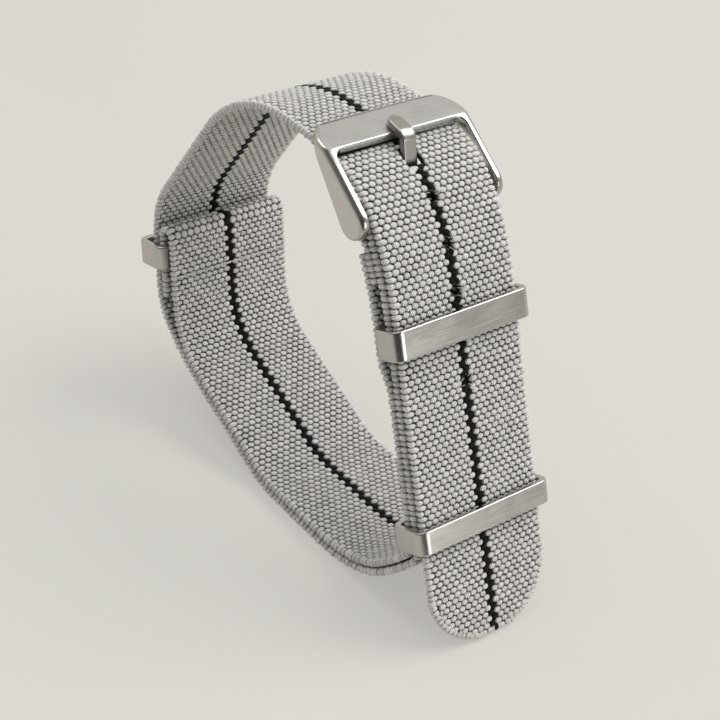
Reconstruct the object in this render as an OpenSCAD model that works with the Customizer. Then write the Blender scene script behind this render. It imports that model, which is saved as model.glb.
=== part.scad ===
// Stretch watch band: a two-strap elastic band with a pin buckle and three keepers, buckled in a loop.
// X runs across the webbing, Y from the tail towards the back of the loop, Z up.
// The loop stands on its flat foot and on the tip of the tail, at Z = 0.

/* [Webbing] */
// Width of the webbing
strap_w = 20; // [18:0.5:22]
// Thickness of one ply of webbing
strap_t = 1.1; // [0.9:0.05:1.2]
// Gap between two plies that lie on each other
ply_gap = 0.15; // [0.1:0.05:0.25]
// Radius of the two rounded corners at the tip of the tail
tip_r = 9; // [5:0.5:9]

/* [Loop] */
// Length of the flat foot under the front half of the loop
foot_front = 4; // [2:0.5:7]
// Length of the flat foot under the back half of the loop
foot_back = 6; // [4:0.5:9]
// Length of the straight front stack between the bottom corner and the bend below the buckle
stack_len = 29.2; // [28.5:0.1:33]
// Angle of the front stack above the floor
stack_lean = 66; // [62:1:70]
// Length of the bend that leads the front stack to the spring bar
bend_len = 13.5; // [12:0.5:17]
// Angle that this bend turns through
bend_turn = 18; // [14:1:22]
// Length of the straight stretch that the left keeper sits on
left_run = 7.5; // [5:0.5:9]

/* [Punched holes] */
// Distance between two holes
hole_pitch = 5.9; // [5:0.1:7]
// Number of holes, with the one that the tongue sits in
hole_count = 6; // [3:1:7]
// Diameter of an empty hole
hole_d = 1.5; // [1.1:0.1:2]
// Distance along the strap from the middle of the front bar to the tongue's hole
hole_start = 5.2; // [4.6:0.1:6]

/* [Buckle] */
// Gap between each edge of the webbing and the metal beside it
side_gap = 0.35; // [0.25:0.05:0.6]
// Thickness of each side arm of the frame
arm_t = 1.2; // [1.1:0.05:1.6]
// Distance from the spring bar to the webbing under the middle of the front bar
buckle_len = 9.8; // [9:0.1:11]
// Angle of the side arms above the floor
buckle_rise = 35; // [34:1:39]
// Width of the front bar along the strap
front_bar_w = 5.4; // [4:0.1:6]
// Thickness of the front bar
front_bar_t = 1.1; // [0.9:0.1:1.8]
// Radius of the rounded ear at the end of each side arm
ear_r = 2.2; // [2.1:0.05:2.8]
// Distance of the ear's middle from the spring bar, square to the arm
ear_rise = 1; // [0.6:0.05:1.1]
// Distance of the ear's middle behind the spring bar, along the arm
ear_back = 0.5; // [0:0.05:0.6]
// Radius of the frame's two front corners
frame_corner_r = 4.4; // [2:0.1:4.5]
// Radius of the window's two front corners
window_corner_r = 1.2; // [0.6:0.1:2]
// Angle between the front bar and the webbing under it
bar_tilt = 3; // [0:1:4]
// Gap between the front bar and the webbing under it
seat_gap = 0.35; // [0.3:0.05:0.5]

/* [Tongue] */
// Width of the tongue
tongue_w = 2.2; // [1.6:0.1:2.6]
// Thickness of the tongue
tongue_t = 0.9; // [0.7:0.05:1]
// Radius that the middle of the tongue is bent to above its hole
tongue_bend_r = 1.3; // [1:0.1:1.6]
// Length of the tongue's straight tip on the front bar
tongue_tip_len = 2.6; // [2:0.1:3.2]
// Gap beside the tongue where it passes through the fold round the spring bar
slot_gap = 0.3; // [0.2:0.05:0.5]
// Gap beside the tongue where it passes through its hole in the tail
hole_gap = 0.2; // [0.15:0.05:0.3]
// Gap between the tongue and the upper end of its hole
hole_fit = 0.2; // [0.15:0.05:0.3]
// Gap between the tongue and the lower end of its hole, which it lifts into
hole_play = 1; // [0.8:0.05:1.2]
// Gap between the tongue's tip and the front bar
tip_gap = 0.06; // [0.04:0.01:0.1]

/* [Spring bar] */
// Outer diameter of the spring bar's tube
bar_d = 1.5; // [1.3:0.05:1.8]
// Wall thickness of the tube
bar_wall = 0.2; // [0.15:0.01:0.25]
// Diameter of the plungers' tips
pin_d = 0.8; // [0.6:0.05:0.9]
// Gap between each end of the tube and the frame
end_gap = 0.25; // [0.15:0.05:0.4]
// Depth that each tip reaches into its ear
pin_seat = 0.7; // [0.5:0.05:0.8]
// Length of each plunger's head inside the tube
pin_head_len = 2; // [1.5:0.1:3]
// Length of the crimped mouth at each end of the tube
mouth_len = 0.5; // [0.4:0.05:0.8]
// Radial clearance of the running fits
run_gap = 0.05; // [0.03:0.01:0.08]
// Wire diameter of the coil inside the tube
wire_d = 0.16; // [0.12:0.01:0.2]
// Number of turns of the coil
coil_turns = 24; // [16:1:30]

/* [Keepers] */
// Thickness of the keepers' metal
keeper_t = 0.9; // [0.7:0.05:1.1]
// Height of the upper keeper along the strap
upper_keeper_h = 3.9; // [3:0.1:4.5]
// Height of the lower keeper along the strap
lower_keeper_h = 3.2; // [2.5:0.1:4]
// Height of the left keeper along the strap
left_keeper_h = 3.5; // [2.8:0.1:4]
// Outer radius of the keepers' corners
keeper_corner_r = 1.5; // [1.2:0.1:1.8]
// Gap between a keeper and the webbing that it holds
keeper_gap = 0.25; // [0.2:0.05:0.4]
// Extra room between the left keeper's outer bar and the webbing that it holds
left_keeper_room = 0.9; // [0:0.1:1.2]
// Gap between the left keeper's inner bar and the fold of webbing round it
fold_play = 0.2; // [0.15:0.05:0.3]
// Height that this fold stands above the inner bar
fold_head = 1.1; // [0:0.1:1.4]
// Distance along the front stack from its lower end to the middle of the lower keeper
lower_keeper_at = 1.3; // [1:0.1:3]
// Distance along the front stack from its upper end down to the middle of the upper keeper
upper_keeper_drop = 2.1; // [2:0.1:4]

/* [Stitching] */
// Diameter of the sewing thread
thread_d = 0.3; // [0.25:0.01:0.4]
// Distance between two stitches in a row
stitch_pitch = 1.6; // [1.2:0.1:2.4]
// Length of a stitch that shows
stitch_len = 1.1; // [0.8:0.05:1.1]
// Distance from a seam's ends to the edges of the webbing
seam_margin = 0.35; // [0.35:0.05:3]
// Distance from the step in the inner strap under the upper keeper down to the seam below it
seam_below = 1.5; // [1:0.1:3]
// Distance from the left keeper's inner bar down to the seam that closes its fold
seam_drop = 1; // [0.8:0.1:2]

/* [Hidden] */
$fn = 64;
// Largest angle that one flat facet of the webbing turns through
facet_turn = 5;
// Distance that a cutter reaches past the solid that it cuts
cut = 1;

// Colours
webbing_color = [0.74, 0.74, 0.73];
steel_color = [0.72, 0.71, 0.69];
thread_color = [0.86, 0.85, 0.82];

// Steps across a stack of plies, from one middle plane to the next
ply_step = strap_t + ply_gap;
tail_step = strap_t + 2 * ply_gap;
bar_step = strap_t + keeper_t + 2 * keeper_gap;

// A path is a list of [length, turn in degrees]. A station on it is [y, z, heading], and a
// heading of 0 looks along +Y and 90 along +Z. Left of a heading of 0 is +Z.
function dir(h) = [cos(h), sin(h)];
function left(h) = [-sin(h), cos(h)];
function pos(s) = [s[0], s[1]];
function arc_vec(h, len, turn) =
    turn == 0 ? len * dir(h)
    : len / turn * 180 / PI * [sin(h + turn) - sin(h), cos(h) - cos(h + turn)];
function along(s, len, turn = 0) =
    let (p = pos(s) + arc_vec(s[2], len, turn)) [p[0], p[1], s[2] + turn];
function beside(s, d) = let (p = pos(s) + d * left(s[2])) [p[0], p[1], s[2]];
function about(s) = [s[0], s[1], s[2] + 180];
function last(list) = list[len(list) - 1];
function flip(list) = [for (i = [len(list) - 1:-1:0]) about(list[i])];
function without_first(list) = [for (i = [1:len(list) - 1]) list[i]];
function run_end(s, run, i = 0) =
    i == len(run) ? s : run_end(along(s, run[i][0], run[i][1]), run, i + 1);
function stations(s, run, i = 0) =
    i == len(run) ? [s]
    : let (n = max(1, ceil(abs(run[i][1]) / facet_turn)))
      concat([for (k = [0:n - 1]) along(s, run[i][0] * k / n, run[i][1] * k / n)],
             stations(along(s, run[i][0], run[i][1]), run, i + 1));
// The same path at a distance d to its left
function shifted(run, d) = [for (r = run) [r[0] - d * r[1] * PI / 180, r[1]]];
// Two opposite arcs that move a path by d to its left over a length
function jog(d, len) = let (a = 2 * d / len * 180 / PI) [[len / 2, a], [len / 2, -a]];
// A run bent as a whole by an angle per length
function curved(run, rate) = [for (r = run) [r[0], r[1] + rate * r[0]]];
// Lengths of two straight stretches with headings h1 and h2 that add up to the vector v
function two_straights(v, h1, h2) =
    let (a = dir(h1), b = dir(h2), det = a[0] * b[1] - a[1] * b[0])
    [(v[0] * b[1] - v[1] * b[0]) / det, (a[0] * v[1] - a[1] * v[0]) / det];
function run_vec(h, run) = pos(run_end([0, 0, h], run));

// Main strap: its middle plane goes from the foot round the bottom corner and up the front stack
foot = [0, strap_t / 2, 180];
corner_run = [[foot_front, 0], [8, -20], [6, -24], [7.1, -10], [3.2, stack_lean - 126]];
stack_foot = run_end(foot, corner_run);
stack_run = [[stack_len, 0], [bend_len, -bend_turn]];
wrap_start = run_end(stack_foot, stack_run);
wrap_r = bar_d / 2 + run_gap + strap_t / 2;
bar = pos(beside(wrap_start, -wrap_r));
// The fold's inner ply runs back beside the stack and is sewn down
fold_close = bar_d + 2 * run_gap + strap_t - ply_step;
fold_jog = 4;
fold_lap = 4.5;
fold_run = concat([[wrap_r * PI, -180]], curved(jog(-fold_close, fold_jog), bend_turn / bend_len),
                  curved([[fold_lap, 0]], bend_turn / bend_len));
front_run = concat(corner_run, stack_run, fold_run);

// Buckle: the front bar lies on the webbing that passes under it
strap_under = 186;
under_bar = let (p = bar + buckle_len * dir(buckle_rise)) [p[0], p[1], strap_under];

// Main strap, on from the foot: back along the floor, up past the left keeper and over the top
floor_rise = 22;
left_lean = 76;
back_lean = 120;
top_lean = 176;
floor_run = [[foot_back, 0], [6, floor_rise]];
left_arcs = [[10, 16], [6.5, left_lean - floor_rise - 16]];
// Straight webbing above the left keeper
keeper_rest = 0.5;
back_arc = [9, back_lean - left_lean];
top_arcs = [[18, top_lean - back_lean], [8.4, strap_under - top_lean]];
fixed_vec = run_vec(0, floor_run) + run_vec(floor_rise, concat(left_arcs, [[left_run, 0], back_arc]))
    + run_vec(back_lean, top_arcs);
free = two_straights(pos(under_bar) - pos(foot) - fixed_vec, floor_rise, back_lean);
left_start = run_end(about(foot), concat(floor_run, [[free[0], 0]], left_arcs));
left_seat = along(left_start, left_run - left_keeper_h / 2 - keeper_rest);
rear_run = concat(floor_run, [[free[0], 0]], left_arcs, [[left_run, 0], back_arc, [free[1], 0]], top_arcs);

// Tail: from under the front bar over the spring bar and down the outside of the front stack
tail_arcs = [[8, 36], [12, stack_lean + 180 - strap_under - 36]];
tail_line = beside(stack_foot, tail_step);
tail_gap_vec = pos(tail_line) - pos(under_bar) - run_vec(strap_under, tail_arcs);
tail_free = two_straights(tail_gap_vec, strap_under, stack_lean + 180);
tail_top = run_end(under_bar, concat([[tail_free[0], 0]], tail_arcs));
// The inner corner of the tip stands on the floor
tail_len = (tail_top[1] - strap_t / 2 * cos(stack_lean)) / sin(stack_lean);
tail_run = concat([[tail_free[0], 0]], tail_arcs, [[tail_len, 0]]);
tail_end = run_end(under_bar, tail_run);
main_path = concat(flip(stations(foot, front_run)), without_first(stations(about(foot), rear_run)),
                   without_first(stations(under_bar, tail_run)));

// Station at a distance along a run
function at_len(s, run, d, i = 0) =
    i == len(run) - 1 || d <= run[i][0] ? along(s, d, run[i][1] * d / run[i][0])
    : at_len(along(s, run[i][0], run[i][1]), run, d - run[i][0], i + 1);
holes = [for (i = [0:hole_count - 1]) at_len(under_bar, tail_run, hole_start + i * hole_pitch)];

// Keepers on the front stack
upper_keeper_at = stack_len - upper_keeper_drop;
lower_seat = along(stack_foot, lower_keeper_at);
upper_seat = along(stack_foot, upper_keeper_at);

// Secondary strap: inside the main strap all along the floor and the front stack
keeper_jog = 6;
upper_edge = upper_keeper_at - upper_keeper_h / 2;
jog_shift = bar_step - ply_step;
lap_end = bend_len - fold_jog;
secondary_front = concat(shifted(corner_run, -ply_step), [[upper_edge - keeper_jog, 0]],
                         jog(-jog_shift, keeper_jog), [[stack_len - upper_edge, 0]],
                         shifted([[lap_end, -bend_turn * lap_end / bend_len]], -bar_step));
secondary_foot = beside(foot, -ply_step);

// Left fold of the secondary strap round the left keeper's inner bar
fold_r = (strap_t + keeper_t) / 2 + fold_play;
left_ply = strap_t + keeper_gap + ply_gap;
left_bar = beside(left_seat, left_ply + fold_r);
left_inner = beside(left_seat, left_ply + 2 * fold_r);
secondary_arc = [10.8, left_lean - floor_rise];
secondary_vec = pos(left_inner) - pos(run_end(about(secondary_foot), shifted(floor_run, ply_step)))
    - run_vec(floor_rise, [secondary_arc]);
secondary_free = two_straights(secondary_vec, floor_rise, left_lean);
left_fold_top = left_keeper_h / 2 + fold_head;
left_return = left_fold_top + 6.65;
secondary_rear = concat(shifted(floor_run, ply_step), [[secondary_free[0], 0], secondary_arc,
    [secondary_free[1] + left_fold_top, 0], [fold_r * PI, -180], [left_return, 0]]);
secondary_path = concat(flip(stations(secondary_foot, secondary_front)),
                        without_first(stations(about(secondary_foot), secondary_rear)));

// The row frame has its origin under the middle of the loop's box
box_low_y = tail_end[0] - strap_t / 2 * sin(stack_lean);
box_high_y = left_seat[0] + (strap_t / 2 + keeper_gap + left_keeper_room + keeper_t) * sin(left_seat[2])
    + left_keeper_h / 2 * cos(left_seat[2]);
row_y = -(box_low_y + box_high_y) / 2;
echo(free = free, tail_free = tail_free, secondary_free = secondary_free);
echo(bar = bar, row_y = row_y, left_seat = left_seat);

module row_frame() {
    translate([0, row_y, 0]) children();
}

// Puts +Z along the heading of a station and -Y to its left
module at(s) {
    translate([0, s[0], s[1]]) rotate([s[2] - 90, 0, 0]) children();
}

// Profile in the YZ plane, drawn out along X
module across(width) {
    rotate([90, 0, 90]) translate([0, 0, -width / 2]) linear_extrude(width) children();
}

// Cylinder along X about the spring bar's axis
module bar_cylinder(length, r) {
    translate([0, bar[0], bar[1]]) rotate([0, 90, 0]) cylinder(h = length, r = r, center = true);
}

module ribbon(path, width, thickness) {
    across(width)
        polygon(concat([for (s = path) pos(beside(s, thickness / 2))],
                       [for (i = [len(path) - 1:-1:0]) pos(beside(path[i], -thickness / 2))]));
}

module rounded_rect(w, d, r) {
    union() {
        square([w - 2 * r, d], center = true);
        square([w, d - 2 * r], center = true);
        for (x = [-1, 1], y = [-1, 1]) translate([x * (w / 2 - r), y * (d / 2 - r)]) circle(r);
    }
}

// Takes the square corners off the tip of the tail, with arcs that meet its edges at a slight angle
tip_reach = tip_r - 0.1;
module tip_corners() {
    at(tail_end) for (x = [-1, 1])
        scale([x, 1, 1]) difference() {
            translate([strap_w / 2 - tip_reach, -strap_t, -tip_reach])
                cube([tip_reach + cut, 2 * strap_t, tip_reach + cut]);
            translate([strap_w / 2 - tip_reach, 0, -tip_reach]) rotate([90, 0, 0])
                cylinder(h = 4 * strap_t, r = tip_r, center = true);
        }
}

// Slot that the tongue passes through, longer towards the tip of the tail
module tongue_hole() {
    at(along(holes[0], tongue_hole_shift)) rotate([90, 0, 0]) translate([0, 0, -hole_depth / 2])
        linear_extrude(hole_depth) rounded_rect(tongue_hole_w, tongue_hole_len, tongue_hole_r);
}

slot_w = tongue_w + 2 * slot_gap;
tongue_hole_w = tongue_w + 2 * hole_gap;
tongue_hole_r = 0.6;
hole_depth = strap_t + 2 * ply_gap;

module main_strap() {
    color(webbing_color) row_frame() difference() {
        ribbon(main_path, strap_w, strap_t);
        tip_corners();
        // Slot in the fold, where the tongue loops round the spring bar
        bar_cylinder(slot_w, wrap_r + strap_t / 2 + run_gap);
        tongue_hole();
        for (i = [1:hole_count - 1]) at(holes[i]) rotate([90, 0, 0])
            cylinder(h = hole_depth, d = hole_d, center = true);
    }
}

module secondary_strap() {
    color(webbing_color) row_frame() ribbon(secondary_path, strap_w, strap_t);
}

// Ear, side arms and front bar seen from the side
inner_w = strap_w + 2 * side_gap;
frame_w = inner_w + 2 * arm_t;
ear_mid = bar + ear_rise * left(buckle_rise) - ear_back * dir(buckle_rise);
bar_heading = strap_under - 180 + bar_tilt;
front_mid = pos(under_bar) + (strap_t / 2 + seat_gap + front_bar_t / 2) * left(bar_heading);
function front_point(u, v) =
    front_mid + u * front_bar_w / 2 * dir(bar_heading) + v * front_bar_t / 2 * left(bar_heading);
// Heading of the line from a point that touches the ear on its right or left
function ear_touch(p, side) = let (v = p - ear_mid) atan2(v[1], v[0]) + side * acos(ear_r / norm(v));
rail_corner = front_point(-0.9, 1);
arm_corner = front_point(0, -1);
rail_turn = ear_touch(rail_corner, 1);
low_turn = ear_touch(arm_corner, -1) + 360;
ear_steps = 24;
// Longer than the whole frame
frame_reach = 40;
frame_profile = concat(
    [for (i = [0:ear_steps]) ear_mid + ear_r * dir(rail_turn + (low_turn - rail_turn) * i / ear_steps)],
    [arm_corner, front_point(0.8, -1), front_point(1, -0.5), front_point(1, 0.3), front_point(0.7, 1),
     rail_corner]);

// Moves what is drawn flat, with the front bar along X, onto the front bar
module on_front_bar() {
    translate([0, front_mid[0], front_mid[1]]) rotate([bar_heading, 0, 0]) children();
}

// Flat plan that ends at a distance from the front bar's middle and reaches back past the ears
module plan(width, end, corner_r) {
    translate([0, end - frame_reach / 2, -frame_reach / 2]) linear_extrude(frame_reach)
        rounded_rect(width, frame_reach, corner_r);
}

module buckle_frame() {
    color(steel_color) row_frame() difference() {
        intersection() {
            across(frame_w) polygon(frame_profile);
            on_front_bar() plan(frame_w, front_bar_w / 2, frame_corner_r);
        }
        // Window between the side arms, open towards the tail and below the front bar
        on_front_bar() {
            plan(inner_w, -front_bar_w / 2, window_corner_r);
            translate([0, 0, -(front_bar_t + frame_reach) / 2])
                cube([inner_w, frame_reach, frame_reach], center = true);
        }
        // Blind seats of the spring bar's tips
        bar_cylinder(inner_w + 2 * (pin_seat + run_gap), pin_d / 2 + run_gap);
    }
}

// Tongue: a loop round the tube, a shank through the hole and a tip on the front bar
loop_in = bar_d / 2 + run_gap;
loop_mid = loop_in + tongue_t / 2;
hole_dir = pos(holes[0]) - bar;
shank_heading = atan2(hole_dir[1], hole_dir[0]) + asin(loop_mid / norm(hole_dir));
shank_start = let (p = bar - loop_mid * left(shank_heading)) [p[0], p[1], shank_heading];
tip_line = front_mid + (front_bar_t / 2 + tip_gap + tongue_t / 2) * left(bar_heading);
bend_angle = shank_heading - bar_heading;
bend_vec = arc_vec(shank_heading, tongue_bend_r * bend_angle * PI / 180, -bend_angle);
shank_len = (tip_line - pos(shank_start) - bend_vec) * left(bar_heading) / sin(bend_angle);
tongue_path = stations(shank_start, [[shank_len, 0], [tongue_bend_r * bend_angle * PI / 180, -bend_angle],
                                     [tongue_tip_len, 0]]);

// The tongue crosses the tail at an angle, and its hole leaves it room to lift
cross_angle = shank_heading - (holes[0][2] - 180);
tongue_reach = tongue_t / 2 / sin(cross_angle) + strap_t / 2 / tan(cross_angle);
tongue_hole_up = tongue_reach + hole_fit;
tongue_hole_down = tongue_reach + hole_play;
tongue_hole_len = tongue_hole_up + tongue_hole_down;
tongue_hole_shift = (tongue_hole_down - tongue_hole_up) / 2;

module buckle_tongue() {
    tip = last(tongue_path);
    color(steel_color) row_frame() difference() {
        union() {
            ribbon(tongue_path, tongue_w, tongue_t);
            bar_cylinder(tongue_w, loop_in + tongue_t);
        }
        bar_cylinder(tongue_w + 2 * cut, loop_in);
        // Rounded tip
        at(tip) difference() {
            translate([-tongue_w, -tongue_t, -tongue_w / 2]) cube([2 * tongue_w, 2 * tongue_t, tongue_w]);
            translate([0, 0, -tongue_w / 2]) rotate([90, 0, 0])
                cylinder(h = 4 * tongue_t, d = tongue_w, center = true);
        }
    }
}

tube_len = inner_w - 2 * end_gap;
bore_d = bar_d - 2 * bar_wall;
mouth_d = pin_d + 2 * run_gap;
pin_tip_x = inner_w / 2 + pin_seat;
head_x = tube_len / 2 - mouth_len - run_gap;

module on_bar() {
    row_frame() translate([0, bar[0], bar[1]]) rotate([0, 90, 0]) children();
}

module spring_bar_tube() {
    color(steel_color) on_bar() difference() {
        cylinder(h = tube_len, d = bar_d, center = true);
        cylinder(h = tube_len - 2 * mouth_len, d = bore_d, center = true);
        cylinder(h = tube_len + 2 * cut, d = mouth_d, center = true);
    }
}

module plunger(side) {
    color(steel_color) on_bar() scale([1, 1, side]) union() {
        translate([0, 0, head_x - pin_head_len]) cylinder(h = pin_head_len, d = bore_d - 2 * run_gap);
        translate([0, 0, head_x - cut]) cylinder(h = pin_tip_x - head_x + cut, d = pin_d);
    }
}

module spring_bar_plunger_left() {
    plunger(-1);
}

module spring_bar_plunger_right() {
    plunger(1);
}

// Both plungers can be pressed in until their tips are clear of the ears
pin_travel = pin_seat + run_gap;
// Coil between the two plungers, as long as it is when both are pressed in
coil_r = bore_d / 2 - run_gap - wire_d / 2;
coil_len = 2 * (head_x - pin_head_len - pin_travel - run_gap) - wire_d;
coil_sides = 6;
coil_rings = 8;
ring_count = coil_turns * coil_rings;
coil_points = [for (i = [0:ring_count], k = [0:coil_sides - 1])
    let (a = i * 360 / coil_rings, b = k * 360 / coil_sides, r = coil_r + wire_d / 2 * cos(b))
    [r * cos(a), r * sin(a), coil_len * (i / ring_count - 0.5) + wire_d / 2 * sin(b)]];
coil_faces = concat(
    [[for (k = [coil_sides - 1:-1:0]) k]],
    [for (i = [0:ring_count - 1], k = [0:coil_sides - 1], half = [0, 1])
        let (a = i * coil_sides + k, b = i * coil_sides + (k + 1) % coil_sides)
        half == 0 ? [a, b, a + coil_sides] : [b, b + coil_sides, a + coil_sides]],
    [[for (k = [0:coil_sides - 1]) ring_count * coil_sides + k]]);

module spring_bar_coil() {
    color(steel_color) on_bar() polyhedron(coil_points, coil_faces);
}

// Rounded rectangular ring round a stack, from a depth left of the station to a depth right of it
module keeper(s, left_depth, right_depth, height) {
    inner_w = strap_w + 2 * side_gap;
    depth = left_depth + right_depth;
    color(steel_color) row_frame() at(s) translate([0, (right_depth - left_depth) / 2, -height / 2])
        linear_extrude(height) difference() {
            rounded_rect(inner_w + 2 * keeper_t, depth + 2 * keeper_t, keeper_corner_r);
            rounded_rect(inner_w, depth, keeper_corner_r - keeper_t);
        }
}

// Distance from a ply's middle plane to the metal that lies on it
on_ply = strap_t / 2 + keeper_gap;

module upper_keeper() {
    keeper(upper_seat, tail_step + on_ply, on_ply, upper_keeper_h);
}

module lower_keeper() {
    keeper(lower_seat, tail_step + on_ply, ply_step + on_ply, lower_keeper_h);
}

module left_keeper() {
    keeper(left_seat, left_ply + fold_r - keeper_t / 2, on_ply + left_keeper_room, left_keeper_h);
}

// Row of stitches through a stack of plies: each is a loop of thread with a bar on both faces
module stitch_row(s, low, high) {
    count = floor((strap_w - 2 * seam_margin) / stitch_pitch);
    leg = stitch_len - thread_d;
    color(thread_color) row_frame() at(s) for (i = [0:count - 1])
        translate([(i - (count - 1) / 2) * stitch_pitch, 0, 0]) {
            for (y = [low, high]) translate([0, y, 0]) rotate([0, 90, 0])
                cylinder(h = stitch_len, d = thread_d, center = true);
            for (x = [-1, 1]) translate([x * leg / 2, low, 0]) rotate([-90, 0, 0])
                cylinder(h = high - low, d = thread_d);
        }
}

module fold_stitches() {
    stitch_row(at_len(stack_foot, stack_run, stack_len + lap_end - fold_lap / 2), -strap_t / 2,
               bar_step + strap_t / 2);
}

module seam_stitches() {
    stitch_row(along(stack_foot, upper_edge - keeper_jog - seam_below), -strap_t / 2,
               ply_step + strap_t / 2);
}

module end_stitches() {
    stitch_row(along(left_inner, -left_keeper_h / 2 - seam_drop), -strap_t / 2, 2 * fold_r + strap_t / 2);
}

main_strap();
secondary_strap();
buckle_frame();
buckle_tongue();
spring_bar_tube();
spring_bar_plunger_left();
spring_bar_plunger_right();
spring_bar_coil();
upper_keeper();
lower_keeper();
left_keeper();
fold_stitches();
seam_stitches();
end_stitches();
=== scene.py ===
"""Stretch watch band: woven elastic straps with a black middle line, a satin steel buckle and three keepers."""

import math

import bmesh
import bpy
import numpy as np
from mathutils import Matrix, Vector


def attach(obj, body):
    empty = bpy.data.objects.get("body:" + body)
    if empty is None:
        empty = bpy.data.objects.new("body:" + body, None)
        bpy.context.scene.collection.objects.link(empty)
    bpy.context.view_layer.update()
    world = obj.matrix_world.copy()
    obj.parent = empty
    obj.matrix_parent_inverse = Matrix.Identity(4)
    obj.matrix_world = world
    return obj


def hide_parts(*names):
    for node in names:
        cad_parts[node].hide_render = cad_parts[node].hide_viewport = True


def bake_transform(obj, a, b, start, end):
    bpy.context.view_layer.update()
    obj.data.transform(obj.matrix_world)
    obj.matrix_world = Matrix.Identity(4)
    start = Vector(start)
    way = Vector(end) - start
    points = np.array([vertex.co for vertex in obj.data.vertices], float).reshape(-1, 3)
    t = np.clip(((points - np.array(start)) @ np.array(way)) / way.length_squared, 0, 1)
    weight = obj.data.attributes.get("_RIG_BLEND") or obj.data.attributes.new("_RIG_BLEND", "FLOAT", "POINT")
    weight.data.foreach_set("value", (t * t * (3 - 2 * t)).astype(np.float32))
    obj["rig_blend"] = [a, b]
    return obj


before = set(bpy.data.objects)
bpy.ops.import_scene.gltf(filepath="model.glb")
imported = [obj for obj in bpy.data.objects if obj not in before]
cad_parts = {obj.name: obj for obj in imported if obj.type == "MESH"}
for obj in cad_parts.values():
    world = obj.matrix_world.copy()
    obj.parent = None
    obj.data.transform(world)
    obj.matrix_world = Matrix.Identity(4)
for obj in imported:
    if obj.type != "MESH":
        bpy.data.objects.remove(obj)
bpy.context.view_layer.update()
MM = 0.001

# ---- Paths of the two straps ----
# A run is a list of (length in mm, turn in degrees), a station is (y, z, heading in degrees) and a
# heading of 0 looks along +Y. Left of a heading of 0 is +Z.

ROW_Y = -5.64238
FOOT = (0.0, 0.55, 180.0)
CORNER_RUN = [(4, 0), (8, -20), (6, -24), (7.1, -10), (3.2, -60)]
STACK_RUN = [(29.2, 0), (13.5, -18)]
FOLD_RUN = [(4.24115, -180), (2, -38.8728), (2, 44.2061), (4.5, 6)]
REAR_RUN = [(6, 0), (6, 22), (13.9185, 0), (10, 16), (6.5, 38), (7.5, 0), (9, 44), (16.0748, 0), (18, 56),
            (8.4, 10)]
TAIL_RUN = [(2.41601, 0), (8, 36), (12, 24), (46.8873, 0)]
SECONDARY_FOOT = (0.0, 1.8, 180.0)
SECONDARY_FRONT = [(4, 0), (7.56367, -20), (5.4764, -24), (6.88183, -10), (1.891, -60), (19.15, 0), (3, -23.8732),
                   (3, 23.8732), (4.05, 0), (8.94731, -12.6667)]
SECONDARY_REAR = [(6, 0), (5.52003, 22), (15.598, 0), (10.8, 54), (9.78876, 0), (3.76991, -180), (9.5, 0)]

STRAP_W = 20.0
STRAP_T = 1.1
TIP_R = 9.0
TIP_REACH = 8.9
HOLE_START, HOLE_PITCH, HOLE_COUNT, HOLE_D = 5.2, 5.9, 6, 1.5
TONGUE_HOLE = (2.6, 3.154, 0.4)  # width, length, and how far its middle lies past its place in the row
SLOT_W = 2.8  # slot in the fold for the tongue


def step(station, length, turn):
    """The station a length further on, turned evenly through an angle on the way."""
    y, z, heading = station
    a = math.radians(heading)
    if abs(turn) < 1e-9:
        return (y + length * math.cos(a), z + length * math.sin(a), heading)
    t = math.radians(turn)
    r = length / t
    return (y + r * (math.sin(a + t) - math.sin(a)), z + r * (math.cos(a) - math.cos(a + t)), heading + turn)


class Path:
    """A strap's middle line, read by distance from its first end."""

    def __init__(self, start, run):
        self.run, self.knots, self.starts = run, [start], [0.0]
        for length, turn in run:
            self.knots.append(step(self.knots[-1], length, turn))
            self.starts.append(self.starts[-1] + length)
        self.length = self.starts[-1]

    def at(self, s):
        """(y, z, heading, bend in radians per mm) at a distance along the path."""
        i = max(k for k in range(len(self.run)) if self.starts[k] <= max(s, 0.0) + 1e-9)
        length, turn = self.run[i]
        d = s - self.starts[i]
        y, z, heading = step(self.knots[i], d, turn * d / length)
        return y, z, heading, math.radians(turn) / length


def two_way(foot, front, rear):
    """A path from the far end of the front run, through the foot, to the far end of the rear run."""
    end = foot
    for length, turn in front:
        end = step(end, length, turn)
    back = [(length, -turn) for length, turn in reversed(front)]
    return Path((end[0], end[1], end[2] + 180), back + rear)


FRONT_RUN = CORNER_RUN + STACK_RUN + FOLD_RUN
main_path = two_way(FOOT, FRONT_RUN, REAR_RUN + TAIL_RUN)
secondary_path = two_way(SECONDARY_FOOT, SECONDARY_FRONT, SECONDARY_REAR)
TAIL_FROM = main_path.length - sum(r[0] for r in TAIL_RUN)
FOLD_FROM = sum(r[0] for r in FOLD_RUN[1:])


def axes(heading, side):
    """Across, along and outward directions of the face on one side of a path: side 1 is its left."""
    a = math.radians(heading)
    along = Vector((0, math.cos(a), math.sin(a)))
    out = Vector((0, -math.sin(a), math.cos(a))) * side
    return along.cross(out), along, out


def place(path, s, x, lift):
    """Point beside a path, in metres: x across the strap and lift to the path's left, both in mm."""
    y, z, heading, _ = path.at(s)
    a = math.radians(heading)
    return Vector((x, y - lift * math.sin(a) + ROW_Y, z + lift * math.cos(a))) * MM


# ---- Helpers ----

def linear(code):
    """An sRGB hex colour as linear RGBA."""
    parts = [int(code[i:i + 2], 16) / 255 for i in (0, 2, 4)]
    return [c / 12.92 if c <= 0.04045 else ((c + 0.055) / 1.055) ** 2.4 for c in parts] + [1.0]


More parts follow.
